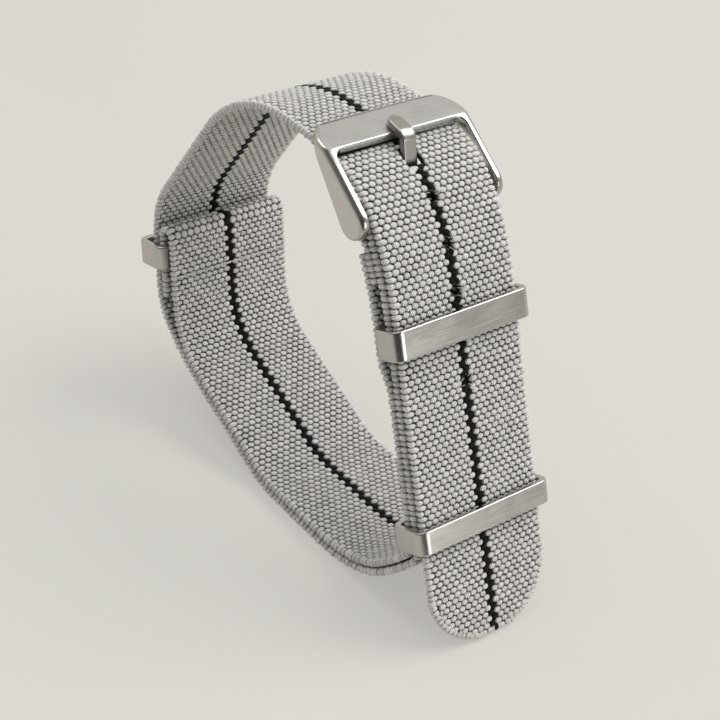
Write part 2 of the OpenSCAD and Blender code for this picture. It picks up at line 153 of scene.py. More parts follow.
def add(tree, kind, inputs=None, **settings):
    """Adds a node: settings are its properties, and inputs are values or the sockets that they come from."""
    node = tree.nodes.new(kind)
    for key, value in settings.items():
        setattr(node, key, value)
    for key, value in (inputs or {}).items():
        if isinstance(value, bpy.types.NodeSocket):
            tree.links.new(value, node.inputs[key])
        else:
            node.inputs[key].default_value = value
    return node


def link_object(name, mesh):
    obj = bpy.data.objects.new(name, mesh)
    bpy.context.scene.collection.objects.link(obj)
    return obj


def new_material(name):
    """An empty material with its output node."""
    mat = bpy.data.materials.new(name)
    mat.use_nodes = True
    mat.node_tree.nodes.clear()
    return mat, mat.node_tree


# ---- Materials ----

def yarn_material(name, dark, light, roughness, strand_pitch, gloss=0.5):
    """Textured polyester yarn, air-bulked and woven tight: matt, with a soft glint on each float.
    The attribute yarn holds a point's place on its own float in mm, and its height from 0 to 1. The dark colour is
    painted shade, laid towards each float's foot and in the grooves between its filaments."""
    mat, tree = new_material(name)
    yarn = add(tree, "ShaderNodeAttribute", attribute_name="yarn")
    lot = add(tree, "ShaderNodeAttribute", attribute_name="lot")
    parts = add(tree, "ShaderNodeSeparateXYZ", {0: yarn.outputs["Vector"]})
    place_on = add(tree, "ShaderNodeTexCoord")
    # Filaments lie along the float and shift from one float to the next
    shifted = add(tree, "ShaderNodeMath", {0: lot.outputs["Fac"], 1: 3.0}, operation="MULTIPLY")
    skew = add(tree, "ShaderNodeMath", {0: parts.outputs["Y"], 1: 0.35, 2: parts.outputs["X"]},
               operation="MULTIPLY_ADD")
    strands = add(tree, "ShaderNodeMath", {0: skew.outputs[0], 1: math.tau / strand_pitch, 2: shifted.outputs[0]},
                  operation="MULTIPLY_ADD")
    wave = add(tree, "ShaderNodeMath", {0: strands.outputs[0]}, operation="SINE")
    # Loose filaments, about 0.15 mm apart
    fuzz = add(tree, "ShaderNodeTexNoise", {"Vector": place_on.outputs["Object"], "Scale": 7000.0, "Detail": 2.0})
    relief = add(tree, "ShaderNodeMath", {0: wave.outputs[0], 1: 0.5, 2: fuzz.outputs["Fac"]},
                 operation="MULTIPLY_ADD")
    bump = add(tree, "ShaderNodeBump", {"Height": relief.outputs[0], "Strength": 0.8, "Distance": 0.00008})
    # Floats differ a little in tone at random. Painted shade darkens them towards their foot and in the grooves
    # between filaments
    tone = add(tree, "ShaderNodeMapRange", {"Value": lot.outputs["Fac"], "To Min": 0.86, "To Max": 1.0})
    foot = add(tree, "ShaderNodeMapRange", {"Value": parts.outputs["Z"], "From Min": 0.23, "From Max": 0.9,
                                            "To Min": 0.0, "To Max": 1.0})
    painted_groove_shade = add(tree, "ShaderNodeMapRange", {"Value": wave.outputs[0], "From Min": -1.0, "From Max": 0.3,
                                              "To Min": 0.66, "To Max": 1.0}, interpolation_type="SMOOTHSTEP")
    level = add(tree, "ShaderNodeMath", {0: tone.outputs[0], 1: foot.outputs[0]}, operation="MULTIPLY")
    level = add(tree, "ShaderNodeMath", {0: level.outputs[0], 1: painted_groove_shade.outputs[0]}, operation="MULTIPLY")
    colour = add(tree, "ShaderNodeMix", {"Factor": level.outputs[0], "A": linear(dark), "B": linear(light)},
                 data_type="RGBA")
    shader = add(tree, "ShaderNodeBsdfPrincipled", {"Base Color": colour.outputs["Result"], "Roughness": roughness,
                                                    "Normal": bump.outputs[0], "Specular IOR Level": gloss})
    add(tree, "ShaderNodeOutputMaterial", {"Surface": shader.outputs[0]})
    return mat


def core_material():
    """Covered rubber warps inside the webbing, only seen in the pits between the floats: their near-black colour
    is partly painted shade for those pits.
    """
    mat, tree = new_material("rubber_core_and_pit_shade")
    coord = add(tree, "ShaderNodeTexCoord")
    # Ribs of the rubber warps, about 0.5 mm apart
    ribs = add(tree, "ShaderNodeTexNoise", {"Vector": coord.outputs["Object"], "Scale": 2000.0, "Detail": 3.0})
    colour = add(tree, "ShaderNodeMix", {"Factor": ribs.outputs["Fac"], "A": linear("0E0D0D"),
                                         "B": linear("2B2927")}, data_type="RGBA")
    bump = add(tree, "ShaderNodeBump", {"Height": ribs.outputs["Fac"], "Strength": 0.5, "Distance": 0.0001})
    shader = add(tree, "ShaderNodeBsdfPrincipled", {"Base Color": colour.outputs["Result"], "Roughness": 0.85,
                                                    "Normal": bump.outputs[0]})
    add(tree, "ShaderNodeOutputMaterial", {"Surface": shader.outputs[0]})
    return mat


def melted_material():
    """Webbing melted back round a punched hole: smooth, slightly glossy and uneven. Its near-black colour is
    partly painted shade, darkening the hole.
    """
    mat, tree = new_material("melted_webbing_and_hole_shade")
    coord = add(tree, "ShaderNodeTexCoord")
    lumps = add(tree, "ShaderNodeTexNoise", {"Vector": coord.outputs["Object"], "Scale": 3500.0, "Detail": 3.0})
    colour = add(tree, "ShaderNodeMix", {"Factor": lumps.outputs["Fac"], "A": linear("100F0F"),
                                         "B": linear("45433F")}, data_type="RGBA")
    bump = add(tree, "ShaderNodeBump", {"Height": lumps.outputs["Fac"], "Strength": 0.6, "Distance": 0.0001})
    shader = add(tree, "ShaderNodeBsdfPrincipled", {"Base Color": colour.outputs["Result"], "Roughness": 0.4,
                                                    "Normal": bump.outputs[0]})
    add(tree, "ShaderNodeOutputMaterial", {"Surface": shader.outputs[0]})
    return mat


def steel_material(name, light, dark, smooth, rough, streak, grain, turn=(0.0, 0.0, 0.0), relief=0.00001):
    """Stainless steel 316L. The grain runs along the turned X axis, streak long and grain wide, in mm."""
    mat, tree = new_material(name)
    coord = add(tree, "ShaderNodeTexCoord")
    laid = add(tree, "ShaderNodeMapping", {"Vector": coord.outputs["Object"], "Rotation": turn,
                                           "Scale": (1 / (streak * MM), 1 / (grain * MM), 1 / (grain * MM))})
    lines = add(tree, "ShaderNodeTexNoise", {"Vector": laid.outputs[0], "Scale": 1.0, "Detail": 3.0,
                                             "Roughness": 0.6})
    # Handling marks, a few millimetres across
    cloud = add(tree, "ShaderNodeTexNoise", {"Vector": coord.outputs["Object"], "Scale": 350.0, "Detail": 2.0})
    mixed = add(tree, "ShaderNodeMix", {"Factor": 0.35, "A": lines.outputs["Fac"], "B": cloud.outputs["Fac"]})
    gloss = add(tree, "ShaderNodeMapRange", {"Value": mixed.outputs["Result"], "From Min": 0.3, "From Max": 0.7,
                                             "To Min": smooth, "To Max": rough})
    colour = add(tree, "ShaderNodeMix", {"Factor": mixed.outputs["Result"], "A": linear(dark), "B": linear(light)},
                 data_type="RGBA")
    bump = add(tree, "ShaderNodeBump", {"Height": lines.outputs["Fac"], "Strength": 0.5, "Distance": relief})
    shader = add(tree, "ShaderNodeBsdfPrincipled", {"Base Color": colour.outputs["Result"], "Metallic": 1.0,
                                                    "Roughness": gloss.outputs[0], "Normal": bump.outputs[0]})
    add(tree, "ShaderNodeOutputMaterial", {"Surface": shader.outputs[0]})
    return mat


ARM_TURN = (math.radians(-35), 0.0, math.radians(-90))
# Each yarn's first colour is what its floats darken towards: painted shade at their feet and in the grooves, and a
# little at random in tone. The second is the yarn's own colour.
grey_yarn = yarn_material("grey_polyester_yarn", "1A1817", "F6F2ED", 0.3, 0.27)
black_yarn = yarn_material("black_polyester_yarn", "030303", "0E0E0F", 0.5, 0.27, 0.15)
pale_thread = yarn_material("pale_bonded_thread", "8F8D88", "EBE9E4", 0.45, 0.12)
core = core_material()
melted = melted_material()
satin = steel_material("satin_steel", "CBCAC9", "B8B7B5", 0.24, 0.34, 3.0, 0.12)
# A darker copy of the satin steel: its darker colour is painted shade on the tongue.
shaded_tongue_satin = steel_material("tongue_satin_steel", "ABA9A6", "98968F", 0.26, 0.34, 3.0, 0.12)
side_brushed = steel_material("side_brushed_steel", "D4D1CD", "BFBCB7", 0.3, 0.4, 3.0, 0.1, ARM_TURN)
polished = steel_material("polished_steel", "BDBBB7", "AEACA8", 0.2, 0.28, 2.0, 0.3, relief=0.000002)
keeper_brushed = steel_material("keeper_brushed_steel", "D0CECA", "A3A09B", 0.17, 0.28, 5.0, 0.12, relief=0.00002)
drawn = steel_material("drawn_steel", "C4C3C1", "A9A8A6", 0.2, 0.3, 8.0, 0.08)


# ---- Woven floats ----

def shape_object(bm, name):
    """The smooth object that a built-up shape ends as. It is laid on points, and isn't in the scene itself."""
    mesh = bpy.data.meshes.new(name)
    bm.to_mesh(mesh)
    bm.free()
    mesh.polygons.foreach_set("use_smooth", [True] * len(mesh.polygons))
    return bpy.data.objects.new(name, mesh)


def mark_yarn(mesh, size, twist=False):
    """Keeps each point's place on its float for the yarn's material: x and y in mm, z from 0 to 1, the height that
    sets the painted shade at its foot.
    """
    top = max(v.co.z for v in mesh.vertices)
    low = min(v.co.z for v in mesh.vertices)
    attribute = mesh.attributes.new("yarn", "FLOAT_VECTOR", "POINT")
    for v, a in zip(mesh.vertices, attribute.data):
        x, y = v.co.x * size[0], v.co.y * size[1]
        up = abs(v.co.z) / top if low < -0.01 else v.co.z / top
        a.vector = (y, x, up) if twist else (x, y, up)


def dome(name, size, sides=12):
    """Half a float of yarn, one unit wide, long and high, squarish in plan."""
    bm = bmesh.new()
    rings = []
    for reach, height in ((1.0, 0.0), (0.93, 0.5), (0.65, 0.86)):
        ring = []
        for i in range(sides):
            a = math.tau * (i + 0.5) / sides
            c, s = math.cos(a), math.sin(a)
            r = reach * 0.5 / (abs(c) ** 2.5 + abs(s) ** 2.5) ** 0.4
            ring.append(bm.verts.new((r * c, r * s, height)))
        rings.append(ring)
    for low, high in zip(rings, rings[1:]):
        for i in range(sides):
            j = (i + 1) % sides
            bm.faces.new((low[i], low[j], high[j], high[i]))
    top = bm.verts.new((0, 0, 1.0))
    for i in range(sides):
        bm.faces.new((rings[-1][i], rings[-1][(i + 1) % sides], top))
    obj = shape_object(bm, name)
    mark_yarn(obj.data, size)
    return obj


def pellet(name, size, sides=8, levels=3):
    """A whole float that wraps the webbing's edge, one unit in each direction."""
    bm = bmesh.new()
    rings = []
    for k in range(-levels + 1, levels):
        tilt = math.pi / 2 * k / levels
        ring = []
        for i in range(sides):
            a = math.tau * (i + 0.5) / sides
            flat = math.cos(tilt) ** 0.7
            ring.append(bm.verts.new((0.5 * flat * math.cos(a) * 1.04, 0.5 * flat * math.sin(a) * 1.04,
                                      0.5 * math.sin(tilt))))
        rings.append(ring)
    for low, high in zip(rings, rings[1:]):
        for i in range(sides):
            j = (i + 1) % sides
            bm.faces.new((low[i], low[j], high[j], high[i]))
    for ring, z in ((rings[0], -0.5), (rings[-1], 0.5)):
        pole = bm.verts.new((0, 0, z))
        for i in range(sides):
            a, b = ring[i], ring[(i + 1) % sides]
            bm.faces.new((b, a, pole) if z < 0 else (a, b, pole))
    obj = shape_object(bm, name)
    mark_yarn(obj.data, size, twist=True)
    # Painted shade: darker where it runs into the webbing, lighter towards its outside
    for v, a in zip(obj.data.vertices, obj.data.attributes["yarn"].data):
        a.vector[2] = min(1.0, 0.35 + 1.3 * max(abs(v.co.z), abs(v.co.x)))
    return obj


def laid_tree():
    """Geometry Nodes tree that lays one shape on every point, turned and sized by the point's attributes."""
    tree = bpy.data.node_groups.new("laid_floats", "GeometryNodeTree")
    face = tree.interface
    face.new_socket("Geometry", in_out="INPUT", socket_type="NodeSocketGeometry")
    for name, kind in (("Float", "NodeSocketObject"), ("Width", "NodeSocketFloat"), ("Length", "NodeSocketFloat"),
                       ("Height", "NodeSocketFloat"), ("Size spread", "NodeSocketFloat"),
                       ("Turn", "NodeSocketFloat"), ("Turn spread", "NodeSocketFloat"), ("Seed", "NodeSocketInt"),
                       ("Material", "NodeSocketMaterial")):
        face.new_socket(name, in_out="INPUT", socket_type=kind)
    face.new_socket("Geometry", in_out="OUTPUT", socket_type="NodeSocketGeometry")
    given = add(tree, "NodeGroupInput").outputs
    shape = add(tree, "GeometryNodeObjectInfo", {"Object": given["Float"]})
    turn = add(tree, "GeometryNodeInputNamedAttribute", {"Name": "turn"}, data_type="FLOAT_VECTOR")
    size = add(tree, "GeometryNodeInputNamedAttribute", {"Name": "size"}, data_type="FLOAT_VECTOR")
    laid = add(tree, "FunctionNodeEulerToRotation", {0: turn.outputs["Attribute"]})
    least = add(tree, "ShaderNodeMath", {0: given["Turn"], 1: given["Turn spread"]}, operation="SUBTRACT")
    most = add(tree, "ShaderNodeMath", {0: given["Turn"], 1: given["Turn spread"]}, operation="ADD")
    swing = add(tree, "FunctionNodeRandomValue", {"Min": least.outputs[0], "Max": most.outputs[0],
                                                  "Seed": given["Seed"]}, data_type="FLOAT")
    about = add(tree, "ShaderNodeCombineXYZ", {"Z": swing.outputs["Value"]})
    swung = add(tree, "FunctionNodeEulerToRotation", {0: about.outputs[0]})
    turned = add(tree, "FunctionNodeRotateRotation", {0: laid.outputs[0], 1: swung.outputs[0]},
                 rotation_space="LOCAL")
    base = add(tree, "ShaderNodeCombineXYZ", {"X": given["Width"], "Y": given["Length"], "Z": given["Height"]})
    fitted = add(tree, "ShaderNodeVectorMath", {0: base.outputs[0], 1: size.outputs["Attribute"]},
                 operation="MULTIPLY")
    low = add(tree, "ShaderNodeMath", {0: 1.0, 1: given["Size spread"]}, operation="SUBTRACT")
    high = add(tree, "ShaderNodeMath", {0: 1.0, 1: given["Size spread"]}, operation="ADD")
    other = add(tree, "ShaderNodeMath", {0: given["Seed"], 1: 7.0}, operation="ADD")
    spread = add(tree, "FunctionNodeRandomValue", {"Min": low.outputs[0], "Max": high.outputs[0],
                                                   "Seed": other.outputs[0]}, data_type="FLOAT")
    grown = add(tree, "ShaderNodeVectorMath", {0: fitted.outputs[0], "Scale": spread.outputs["Value"]},
                operation="SCALE")
    laid_on = add(tree, "GeometryNodeInstanceOnPoints", {"Points": given["Geometry"],
                                                         "Instance": shape.outputs["Geometry"],
                                                         "Rotation": turned.outputs[0], "Scale": grown.outputs[0]})
    third = add(tree, "ShaderNodeMath", {0: given["Seed"], 1: 13.0}, operation="ADD")
    lot = add(tree, "FunctionNodeRandomValue", {"Min": 0.0, "Max": 1.0, "Seed": third.outputs[0]},
              data_type="FLOAT")
    marked = add(tree, "GeometryNodeStoreNamedAttribute", {"Geometry": laid_on.outputs[0], "Name": "lot",
                                                           "Value": lot.outputs["Value"]},
                 data_type="FLOAT", domain="INSTANCE")
    real = add(tree, "GeometryNodeRealizeInstances", {"Geometry": marked.outputs[0]})
    dressed = add(tree, "GeometryNodeSetMaterial", {"Geometry": real.outputs[0], "Material": given["Material"]})
    add(tree, "NodeGroupOutput", {"Geometry": dressed.outputs[0]})
    return tree


LAID = laid_tree()
INPUT_IDS = {item.name: item.identifier for item in LAID.interface.items_tree if item.in_out == "INPUT"}


def lay(name, points, shape, size, material, seed, size_spread=0.05, turn=0.0, turn_spread=0.08):
    """One plain mesh with a shape laid on each point.
    A point is (place, (across, along, outward), size factors)."""
    mesh = bpy.data.meshes.new(name + "_points")
    mesh.from_pydata([p[0] for p in points], [], [])
    facing = mesh.attributes.new("turn", "FLOAT_VECTOR", "POINT")
    fit = mesh.attributes.new("size", "FLOAT_VECTOR", "POINT")
    for i, (_, triad, factors) in enumerate(points):
        facing.data[i].vector = Matrix(triad).transposed().to_euler()
        fit.data[i].vector = factors
    rows = link_object(name + "_rows", mesh)
    modifier = rows.modifiers.new("laid", "NODES")
    modifier.node_group = LAID
    values = {"Float": shape, "Width": size[0] * MM, "Length": size[1] * MM, "Height": size[2] * MM,
              "Size spread": size_spread, "Turn": turn, "Turn spread": turn_spread, "Seed": seed,
              "Material": material}
    for key, value in values.items():
        modifier[INPUT_IDS[key]] = value
    bpy.context.view_layer.update()
    graph = bpy.context.evaluated_depsgraph_get()
    plain = bpy.data.meshes.new_from_object(rows.evaluated_get(graph))
    plain.name = name
    bpy.data.objects.remove(rows)
    return link_object(name, plain)


# ---- The weave: rows of floats across the strap, every second row moved by half a float ----
COLUMN = 1.05     # across, from float to float
ROW = 0.775       # along, from row to row
SIDE_COLUMNS = 8  # grey floats on each side of the black one
CORE = 0.2        # half thickness of the core under the floats
FLOAT_SIZE = (1.13, 0.86, STRAP_T / 2 - CORE)
FLOAT_TURN = -0.14  # twist of the yarn turns each float a little, the same way on both faces
EDGE_SIZE = (1.0, 0.84, 1.04)
EDGE_LAP = 0.12   # the edge floats reach this far over the float beside them

hole_places = [TAIL_FROM + HOLE_START + i * HOLE_PITCH for i in range(HOLE_COUNT)]

# Floats beside an opening, in mm
SLOT_ROOM = (0.6, 0.35)     # bare webbing past the fold's slot, along and across the strap
TONGUE_ROOM = (0.2, 0.5)    # floats this far past the tongue's hole, along and across, are moved
TONGUE_SIDE = (0.25, 0.62)  # distance of a float's middle from the hole's side, and its width factor
TONGUE_END = (0.1, 1.7)     # the same at the hole's ends
TONGUE_INSIDE = (0.25, 0.45)  # floats deeper in the hole than this, from its sides and ends, are left out
HOLE_BARE = 0.62            # no float starts nearer to a round hole's middle
HOLE_ROOM = 0.5             # floats this far past its rim are moved
HOLE_OFF = (0.42, 0.62)     # distance past the rim that they are moved to, on the left and on the right
MOVED_WIDTH = 0.85
# Floats at the rounded tip, in mm from its outline: where they are moved to, and between which distances
TIP_OFF, TIP_FAR, TIP_NEAR, TIP_WIDTH = 1.2, 0.95, 0.6, 0.6


def crowded(s, x):
    """Place and width factor of a float beside a punched hole, or None where the webbing is open.
    Floats that a hole would cut are pushed off it, and narrowed."""
    if (FOLD_FROM - SLOT_ROOM[0] < s < FOLD_FROM + FOLD_RUN[0][0] + SLOT_ROOM[0]
            and abs(x) < SLOT_W / 2 + SLOT_ROOM[1]):
        return None
    w, length, shift = TONGUE_HOLE
    off = s - hole_places[0] - shift
    if abs(off) < length / 2 + TONGUE_ROOM[0] and abs(x) < w / 2 + TONGUE_ROOM[1]:
        if abs(x) > w / 2 - TONGUE_INSIDE[0]:
            return s, math.copysign(w / 2 + TONGUE_SIDE[0], x), TONGUE_SIDE[1]
        if abs(off) > length / 2 - TONGUE_INSIDE[1]:
            return s - off + math.copysign(length / 2 + TONGUE_END[0], off), x, TONGUE_END[1]
        return None
    for hole in hole_places[1:]:
        far = math.hypot(x, s - hole)
        if far < HOLE_BARE:
            return None
        if far < HOLE_D / 2 + HOLE_ROOM:
            out = (HOLE_D / 2 + HOLE_OFF[1 if x > 0 else 0]) / far
            return hole + (s - hole) * out, x * out, MOVED_WIDTH
    return s, x, 1.0


def tip_half_width(t):
    """Half width of the tail at a distance from its end."""
    if t >= TIP_REACH:
        return STRAP_W / 2
    return STRAP_W / 2 - TIP_REACH + math.sqrt(max(0.0, TIP_R ** 2 - (TIP_REACH - t) ** 2))


def weave_points(path, with_holes):
    """Points for the grey floats of both faces, the black ones and the edges."""
    grey, black, edges = {1: [], -1: []}, [], []
    rows = int(path.length / ROW)
    first = (path.length - rows * ROW) / 2 + ROW / 2
    for i in range(rows):
        s = first + i * ROW
        _, _, heading, bend = path.at(s)
        x0 = COLUMN / 4 * (1 if i % 2 else -1)
        limit = tip_half_width(path.length - s) if with_holes else STRAP_W / 2
        in_tip = limit < STRAP_W / 2 - 0.02
        for side in (1, -1):
            triad = axes(heading, side)
            squeeze = max(0.45, 1 - side * (CORE + 0.2) * bend)
            for k in range(-SIDE_COLUMNS, SIDE_COLUMNS + 1):
                x = x0 + k * COLUMN
                spot = crowded(s, x) if with_holes else (s, x, 1.0)
                if in_tip and abs(x) > limit - TIP_FAR:
                    spot = (s, math.copysign(limit - TIP_OFF, x), TIP_WIDTH) if abs(x) < limit - TIP_NEAR else None
                if spot is None:
                    continue
                middle = place(path, spot[0], spot[1], side * CORE)
                if k == 0:
                    black.append((middle, triad, (0.98 * spot[2], 1.12 * squeeze, 1.0)))
                else:
                    grey[side].append((middle, triad, (spot[2], squeeze, 1.0)))
        if in_tip:
            continue
        for side in (1, -1):
            inner = side * x0 + (SIDE_COLUMNS + 0.5) * COLUMN
            wide = STRAP_W / 2 - inner + EDGE_LAP
            x = side * (STRAP_W / 2 - wide / 2)
            edges.append((place(path, s, x, 0), axes(heading, 1), (wide, 1.0, 1.0)))
    if with_holes:
        edges += tip_points(path)
    return grey, black, edges


def tip_points(path):
    """Floats round the end of the tail, square to its outline."""
    out = []
    arc = []
    pitch, depth = 0.8, 0.5  # from float to float, and from the outline to their middles, in mm
    start = math.acos(TIP_REACH / TIP_R)
    span = math.pi / 2 - 2 * start
    steps = int(TIP_R * span / pitch)
    for k in range(steps + 1):
        a = start + span * k / steps
        arc.append((STRAP_W / 2 - TIP_REACH + (TIP_R - depth) * math.cos(a),
                    TIP_REACH - (TIP_R - depth) * math.sin(a), a))
    flat = [(x, depth, math.pi / 2) for x in (-pitch, 0.0, pitch)]
    _, _, heading, _ = path.at(path.length)
    across, along, up = axes(heading, 1)
    corners = [(sign * x, t, a if sign > 0 else math.pi - a) for x, t, a in arc for sign in (1, -1)]
    for x, t, a in flat + corners:
        outward = across * math.cos(a) + along * math.sin(a)
        tangent = up.cross(outward)
        out.append((place(path, path.length - t, x, 0), (outward, tangent, up), (1.05, 1.0, 1.0)))
    return out


# Fabric above the upper part of the loop rises with the spring bar when the band stretches
BLEND_START, BLEND_END = (0.0, -0.00058, 0.0317), (0.0, -0.00291, 0.0497)
BLEND_CUTS = 24  # the cores' long faces are cut this often there, so that they bend as the floats do
CORE_INSET = 0.5  # distance of the core from the webbing's edges and from its tip
CORE_SPARE = 0.04  # the floats stand this deep in the core
CORE_END = 0.15   # distance of the core from the path's ends


def ribbon_core(node, name, path):
    """Copy of a strap's solid, thinned to the core under the floats. Its holes and rounded tip stay."""
    obj = merged_copy(node, name)
    ss = np.arange(0, path.length, 0.2)  # places on the path, among which each vertex finds its nearest
    table = np.array([path.at(s)[:3] for s in ss])
    heads = np.radians(table[:, 2])
    for v in obj.data.vertices:
        x, y, z = v.co.x / MM, v.co.y / MM - ROW_Y, v.co.z / MM
        i = int(np.argmin((table[:, 0] - y) ** 2 + (table[:, 1] - z) ** 2))
        dy, dz = y - table[i, 0], z - table[i, 1]
        off = -dy * math.sin(heads[i]) + dz * math.cos(heads[i])
        s = ss[i] + dy * math.cos(heads[i]) + dz * math.sin(heads[i])
        left = path.length - s
        if node == "main_strap" and left < TIP_REACH:
            s -= CORE_INSET * (1 - left / TIP_REACH)
        s = min(max(s, CORE_END), path.length - CORE_END)
        v.co = place(path, s, x * (1 - CORE_INSET / (STRAP_W / 2)), off * (CORE + CORE_SPARE) / (STRAP_T / 2))
    start, end = Vector(BLEND_START), Vector(BLEND_END)
    bm = bmesh.new()
    bm.from_mesh(obj.data)
    for i in range(BLEND_CUTS + 1):
        bmesh.ops.bisect_plane(bm, geom=bm.verts[:] + bm.edges[:] + bm.faces[:], dist=1e-7,
                               plane_co=start.lerp(end, i / BLEND_CUTS), plane_no=(end - start).normalized())
    bm.to_mesh(obj.data)
    bm.free()
    obj.data.materials.clear()
    obj.data.materials.append(core)
    return obj


def merged_copy(node, name):
    """Copy of a CAD node's mesh as one closed shell, with flat faces whole again."""
    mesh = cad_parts[node].data.copy()
    mesh.name = name
    bm = bmesh.new()
    bm.from_mesh(mesh)
    bmesh.ops.remove_doubles(bm, verts=bm.verts, dist=1e-6)
    bmesh.ops.dissolve_limit(bm, angle_limit=math.radians(0.5), verts=bm.verts, edges=bm.edges)
    bm.to_mesh(mesh)
    bm.free()
    for key in [a.name for a in mesh.attributes if a.name.startswith("custom_normal")]:
        mesh.attributes.remove(mesh.attributes[key])
    return link_object(name, mesh)


def fabric(obj, slot_name, *nodes):
    """Lets a piece of the straps follow the stretch, and hides the nodes that it replaces. Its slot name is not
    used.
    """
    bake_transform(obj, "webbing", "spring_bar", start=BLEND_START, end=BLEND_END)
    if nodes:
        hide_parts(*nodes)


float_shape = dome("float_shape", FLOAT_SIZE)
edge_shape = pellet("edge_shape", EDGE_SIZE)

for strap, path, seed in (("main", main_path, 11), ("secondary", secondary_path, 41)):
    grey, black, edges = weave_points(path, strap == "main")
    fabric(ribbon_core(strap + "_strap", strap + "_core", path), "webbing", strap + "_strap")
    for side, face in ((1, "inside"), (-1, "outside")):
        half = len(grey[side]) // 2
        for part, points in (("first", grey[side][:half]), ("last", grey[side][half:])):
            seed += 1
            fabric(lay("_".join((strap, "weave", face, part)), points, float_shape, FLOAT_SIZE, grey_yarn, seed,
                       0.06, FLOAT_TURN, 0.1), "webbing")
    fabric(lay(strap + "_black_line", black, float_shape, FLOAT_SIZE, black_yarn, seed + 1, 0.03), "webbing")
    fabric(lay(strap + "_edges", edges, edge_shape, EDGE_SIZE, grey_yarn, seed + 2, 0.06, -FLOAT_TURN, 0.1),
           "webbing")


# ---- Melted rims of the punched holes, darkened with painted shade ----

def ring_shape():
    """Flattened ring, one unit wide and long inside the middle of its rim, which is a little uneven."""
    around, sides = 28, 8
    bm = bmesh.new()
    loops = []
    for i in range(around):
        a = math.tau * i / around
        loop = []
        for k in range(sides):
            b = math.tau * k / sides
            r = 0.5 + 0.05 * math.cos(b) + 0.02 * math.sin(3 * a) + 0.015 * math.cos(5 * a)
            loop.append(bm.verts.new((r * math.cos(a), r * math.sin(a), 0.5 * math.sin(b))))
        loops.append(loop)
    for i in range(around):
        for k in range(sides):
            a, b, n = loops[i], loops[(i + 1) % around], (k + 1) % sides
            bm.faces.new((a[k], b[k], b[n], a[n]))
    return shape_object(bm, "ring_shape")


RIM_SIZE, RIM_LIFT = (HOLE_D + 0.1, HOLE_D + 0.1, 0.3), 0.14
rims = []
for s in hole_places[1:]:
    for side in (1, -1):
        rims.append((place(main_path, s, 0, side * RIM_LIFT), axes(main_path.at(s)[2], side), (1.0, 1.0, 1.0)))
fabric(lay("hole_rims", rims, ring_shape(), RIM_SIZE, melted, 71, 0.03, 0.0, 0.0), "webbing")


# ---- Seams ----

def stitch_shape():
    """One stitch of twisted thread, a unit long: it dips into the webbing at both ends."""
    steps, sides = 8, 8
    bm = bmesh.new()
    loops = []
    for i in range(steps + 1):
        t = i / steps * 2 - 1
        drop = -1.3 * max(0.0, abs(t) - 0.55) ** 2 * 4
        fat = 1 - 0.35 * abs(t) ** 6
        loop = []
        for k in range(sides):
            b = math.tau * k / sides
            loop.append(bm.verts.new((t * 0.5, 0.5 * fat * math.cos(b), 0.5 * fat * math.sin(b) + drop)))
        loops.append(loop)
    for a, b in zip(loops, loops[1:]):
        for k in range(sides):
            n = (k + 1) % sides
            bm.faces.new((a[k], a[n], b[n], b[k]))
    bm.faces.new(loops[0][::-1])
    bm.faces.new(loops[-1])
    bmesh.ops.recalc_face_normals(bm, faces=bm.faces)
    obj = shape_object(bm, "stitch_shape")
    mark_yarn(obj.data, (1.5, 0.28))
    for a in obj.data.attributes["yarn"].data:
        a.vector[2] = 1.0
    return obj


stitch = stitch_shape()

# Loose filaments at the punched holes, mostly on one side: (direction from the hole's middle in radians,
# distance from it in mm, heading off that direction in radians, length in mm)
FIBRE_SIZE, FIBRE_LIFT = (1.0, 0.08, 0.08), -0.53
FIBRES = ((-0.9, 0.95, 0.5, 0.8), (-0.5, 1.1, -0.3, 1.2), (-0.2, 1.0, 0.2, 1.4), (0.1, 1.15, -0.2, 1.0),
          (0.4, 1.05, 0.4, 1.3), (0.8, 0.95, -0.4, 0.9), (2.6, 0.75, 0.9, 0.7), (3.6, 0.8, -0.7, 0.7))
fibres = []
for s in hole_places[1:]:
    _, along, out = axes(main_path.at(s)[2], -1)
    for a, far, lean, length in FIBRES:
        a += 0.3 * math.sin(s)
        ray = Vector((math.cos(a), 0, 0)) + along * math.sin(a)
        reach = Vector((math.cos(a + lean), 0, 0)) + along * math.sin(a + lean)
        middle = place(main_path, s, 0, FIBRE_LIFT) + ray * far * MM
        fibres.append((middle, (reach, out.cross(reach), out), (length, 1.0, 1.0)))
fabric(lay("hole_fibres", fibres, stitch, FIBRE_SIZE, pale_thread, 77, 0.2, 0.0, 0.4), "webbing")

SEAM_COUNT, SEAM_PITCH = 12, 1.6
SEAM_SIZE, SEAM_LIFT = (1.62, 0.3, 0.3), 0.1
# (node, station, lift of the stitches on the station's left, lift of those on its right)
SEAMS = (("fold_stitches", (-6.49225, 46.4983, 56.3333), 0.55, 3.05),
         ("seam_stitches", (-14.6823, 29.6032, 66.0), 0.55, 1.8),
         ("end_stitches", (33.687, 20.6068, 76.0), 0.55, 2.95))
for seed, (node, (y, z, heading), left, right) in enumerate(SEAMS):
    points = []
    for side, lift in ((1, left), (-1, right)):
        triad = axes(heading, side)
        at = Vector((0, y + ROW_Y, z)) * MM + triad[2] * (lift + SEAM_LIFT) * MM
        for i in range(SEAM_COUNT):
            points.append((at + Vector(((i - (SEAM_COUNT - 1) / 2) * SEAM_PITCH * MM, 0, 0)), triad, (1, 1, 1)))
    fabric(lay(node + "_thread", points, stitch, SEAM_SIZE, pale_thread, 90 + seed, 0.03, 0.0, 0.05),
           "thread", node)


# ---- Steel ----

SHARP = math.radians(25)  # edges that turn less aren't rounded
POLISHED_X = 9.6          # nearer to the middle, in mm, the rounded edges are satin


